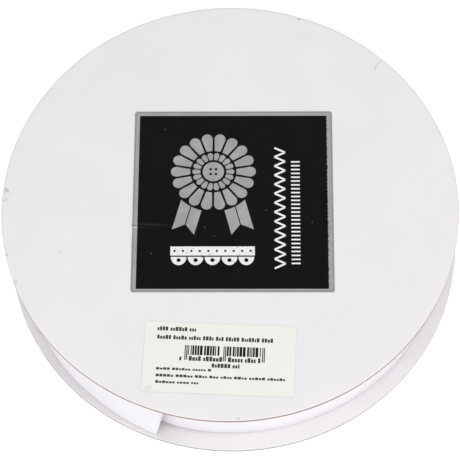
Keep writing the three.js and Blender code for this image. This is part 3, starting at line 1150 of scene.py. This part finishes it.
# The block of stripes: its left and right ends, its top, its foot and the long pairs' foot.
STRIPES = {"from": -10.3 * MM, "to": 13.5 * MM, "top": 4.0 * MM, "foot": 0.95 * MM, "guard": -0.7 * MM}
STRIPE_PITCH = 0.25 * MM
STRIPE_SPREAD = 0.2  # of a pitch, by which the ink has spread
LONG_PAIRS = (0, 2, 46, 48, 92, 94)
PAIR_ROOM = 4  # pitches kept free for a long pair
MIDDLE_PAIR = (43, 51)
STRIPE_WIDTHS = 2.99  # just short of 3, so that a stripe is 1, 2 or 3 pitches wide
WIDE_GAP_EVERY = 5  # the gap after every fifth stripe is wider


def line_blocks(ink, line, seed):
    """One line of print as short plain blocks of uneven width, in groups."""
    x, end, y, tall, wide = (part * MM for part in line)
    count = 0
    room = 4 + seed % 3
    while x < end - LEAST_LETTER:
        chance = abs(noise.cell(Vector((count * 1.7 + 0.5, seed * 3.1 + 0.5, 0.5))))
        width = min(wide * (LETTER_WIDTHS[0] + LETTER_WIDTHS[1] * chance), end - x)
        height = tall * (1.0 if chance < TALL_FROM else TALL_LETTER)
        ink.bar(x + width / 2, y + (height - tall) / 2, width, height)
        room -= 1
        x += width + LETTER_GAP
        if room == 0:
            x += WORD_GAP
            room = 3 + round(4 * chance)
        count += 1


def stripe_block(ink):
    """A plain block of upright stripes of uneven width, with longer pairs at its ends and middle."""

    def stripe(unit, wide, foot):
        across = STRIPES["from"] + STRIPE_PITCH * (unit + wide / 2)
        height = STRIPES["top"] - foot
        ink.bar(across, STRIPES["top"] - height / 2, (wide + STRIPE_SPREAD) * STRIPE_PITCH, height)

    for unit in LONG_PAIRS:
        stripe(unit, 1, STRIPES["guard"])
    units = round((STRIPES["to"] - STRIPES["from"]) / STRIPE_PITCH)
    unit = PAIR_ROOM
    count = 0
    while unit < units - PAIR_ROOM:
        chance = abs(noise.cell(Vector((count * 2.3 + 0.5, 7.5, 0.5))))
        wide = 1 + int(STRIPE_WIDTHS * chance)
        if not MIDDLE_PAIR[0] < unit + wide / 2 < MIDDLE_PAIR[1]:
            stripe(unit, wide, STRIPES["foot"])
        unit += wide + 1 + (count % WIDE_GAP_EVERY == 0)
        count += 1


class TAPEREEL_OT_sticker(bpy.types.Operator):
    """Add the cream price sticker and its plain print"""

    bl_idname = "tape_reel.sticker"
    bl_label = "Price sticker"

    def execute(self, context):
        s, c = sizes(), colours()
        place = paper_place(PRICE_STICKER)
        bm = paper_plate(s.sticker_width, s.sticker_height, s.sticker_thickness, s.sticker_corner)
        cut_across(bm, "x", steps_from(-s.sticker_width / 2, s.sticker_width / 2, STICKER_GRID[0])[1:-1])
        cut_across(bm, "y", steps_from(-s.sticker_height / 2, s.sticker_height / 2, STICKER_GRID[1])[1:-1])
        turn = Matrix.Rotation(s.sticker_turn, 3, "Z")
        bmesh.ops.rotate(bm, verts=bm.verts, cent=(0, 0, 0), matrix=turn)
        bmesh.ops.translate(bm, verts=bm.verts, vec=place)
        lay_on_card(bm)
        paper = print_finish(
            "sticker paper", c.sticker_cream, *PAPER_GLOSS, streak=0.01, marks=STICKER_DENT_SHADE
        )
        # The cut edge is painted dark as the shadow line under the sticker.
        edge = print_finish("sticker edge shade", c.sticker_edge_shade, *EDGE_GLOSS)
        for face in bm.faces:
            face.material_index = 1 if abs(face.normal.z) < 0.5 else 0
        piece = placed("paper_sticker", bm, [paper, edge], sharp_deg=50)
        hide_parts("price_sticker")

        ink = Ink(s.sticker_thickness, s.ink_thickness)
        for seed, line in enumerate(PRINT_LINES):
            line_blocks(ink, line, seed)
        printed = print_finish("sticker ink", c.sticker_ink, *INK_GLOSS)
        ink.lay("sticker_print", place, s.sticker_turn, printed)
        ink = Ink(s.sticker_thickness, s.ink_thickness)
        stripe_block(ink)
        printed = print_finish("stripe ink", c.stripe_ink, *STRIPE_GLOSS)
        ink.lay("sticker_stripes", place, s.sticker_turn, printed)
        return {"FINISHED"}


# ---------- the stage ----------

# The camera: the place it looks at, its angles from the front and above the floor in degrees, how far
# off it stands and how far it is rolled, and its lens in millimetres.
CAMERA_STAND = {
    "aim": Vector((-0.27 * MM, -8.02 * MM, 25.4 * MM)),
    "around": 1.95,
    "above": 65.007,
    "distance": 660.5 * MM,
    "roll": -1.813,
}
CAMERA_LENS = 169.95
NEAREST, FARTHEST = 0.01, 20.0  # what the camera sees, in metres

FLOOR_RADIUS = 1.8
FLOOR_STEPS = 128
FLOOR_CLOUD = 0.5  # the size of the faint clouds in its paint
FLOOR_GLOW = 0.38  # keeps the floor white up to its rim
SKY_STRENGTH = 0.37
WHITE = (1.0, 1.0, 1.0, 1.0)

# Round softboxes: where each stands, in degrees from the front and above the floor and in metres from
# the reel, how wide it is in metres and its power in watts.
SOFTBOXES = [
    {"name": "right box", "around": 68, "above": 40, "distance": 1.6, "size": 0.9, "power": 9.6},
    {"name": "front box", "around": 0, "above": 40, "distance": 1.6, "size": 1.0, "power": 6.8},
    {"name": "left box", "around": -41, "above": 38, "distance": 1.6, "size": 1.2, "power": 8.8},
    {"name": "back box", "around": 180, "above": 30, "distance": 1.6, "size": 1.1, "power": 4.2},
]


def direction(around, above):
    """The direction from the reel towards a place round it and above it, in degrees."""
    a, e = math.radians(around), math.radians(above)
    return Vector((math.sin(a) * math.cos(e), -math.cos(a) * math.cos(e), math.sin(e)))


def stand(thing, aim, around, above, distance, roll=0.0):
    """Stands a light or the camera off a place that it faces, turned about its own view by a roll."""
    back = direction(around, above)
    thing.location = aim + back * distance
    thing.rotation_mode = "QUATERNION"
    level = (-back).to_track_quat("-Z", "Y")
    thing.rotation_quaternion = level @ Quaternion((0, 0, 1), math.radians(roll))


def soft_light(name, around, above, distance, size, power):
    """Adds a round softbox that faces the reel."""
    light = bpy.data.lights.new(name, "AREA")
    light.energy = power
    light.shape = "DISK"
    light.size = size
    stand(added(name, light), Vector((0, 0, 0)), around, above, distance)


class TAPEREEL_OT_stage(bpy.types.Operator):
    """Add the white floor, the soft lights and the camera"""

    bl_idname = "tape_reel.stage"
    bl_label = "Stage"

    def execute(self, context):
        made = Finish("studio floor", roughness=0.9, specular=0.1)
        tint = colours().floor
        tone = made.blend(made.mottle(made.place(), FLOOR_CLOUD, 2), shade(tint, 0.99), tint)
        white_floor = made.finish(Base_Color=tone, Emission_Color=WHITE, Emission_Strength=FLOOR_GLOW)
        bm = bmesh.new()
        bmesh.ops.create_circle(bm, cap_ends=True, segments=FLOOR_STEPS, radius=FLOOR_RADIUS)
        floor = added("floor", mesh_of("floor", bm, [white_floor]))

        world = bpy.data.worlds.new("studio")
        world.use_nodes = True
        sky = world.node_tree.nodes["Background"]
        sky.inputs["Color"].default_value = WHITE
        sky.inputs["Strength"].default_value = SKY_STRENGTH
        context.scene.world = world
        context.scene.view_settings.view_transform = "Standard"
        for box in SOFTBOXES:
            soft_light(**box)

        camera = bpy.data.cameras.new("camera")
        camera.lens = CAMERA_LENS
        camera.clip_start = NEAREST
        camera.clip_end = FARTHEST
        context.scene.camera = added("camera", camera)
        stand(context.scene.camera, **CAMERA_STAND)
        return {"FINISHED"}


# ---------- the add-on ----------


class TAPEREEL_PT_panel(bpy.types.Panel):
    """Lists the reel's pieces in the order in which they are made"""

    bl_idname = "TAPEREEL_PT_panel"
    bl_label = "Bias tape reel"
    bl_space_type = "VIEW_3D"
    bl_region_type = "UI"
    bl_category = "Tape reel"

    def draw(self, context):
        for operator in OPERATORS:
            self.layout.operator(operator.bl_idname)
        for group in (context.scene.tape_reel_sizes, context.scene.tape_reel_colours):
            box = self.layout.box()
            for name in group.bl_rna.properties.keys():
                if name not in {"rna_type", "name"}:
                    box.prop(group, name)


OPERATORS = (
    TAPEREEL_OT_stage,
    TAPEREEL_OT_cards,
    TAPEREEL_OT_winding,
    TAPEREEL_OT_tail,
    TAPEREEL_OT_label,
    TAPEREEL_OT_label_print,
    TAPEREEL_OT_sticker,
)
CLASSES = (ReelSizes, ReelColours, *OPERATORS, TAPEREEL_PT_panel)


def register():
    for cls in CLASSES:
        bpy.utils.register_class(cls)
    bpy.types.Scene.tape_reel_sizes = PointerProperty(type=ReelSizes)
    bpy.types.Scene.tape_reel_colours = PointerProperty(type=ReelColours)


def unregister():
    del bpy.types.Scene.tape_reel_colours
    del bpy.types.Scene.tape_reel_sizes
    for cls in reversed(CLASSES):
        bpy.utils.unregister_class(cls)


def main():
    register()
    bpy.ops.tape_reel.stage()
    bpy.ops.tape_reel.cards()
    bpy.ops.tape_reel.winding()
    bpy.ops.tape_reel.tail()
    bpy.ops.tape_reel.label()
    bpy.ops.tape_reel.label_print()
    bpy.ops.tape_reel.sticker()


if __name__ == "__main__":
    main()
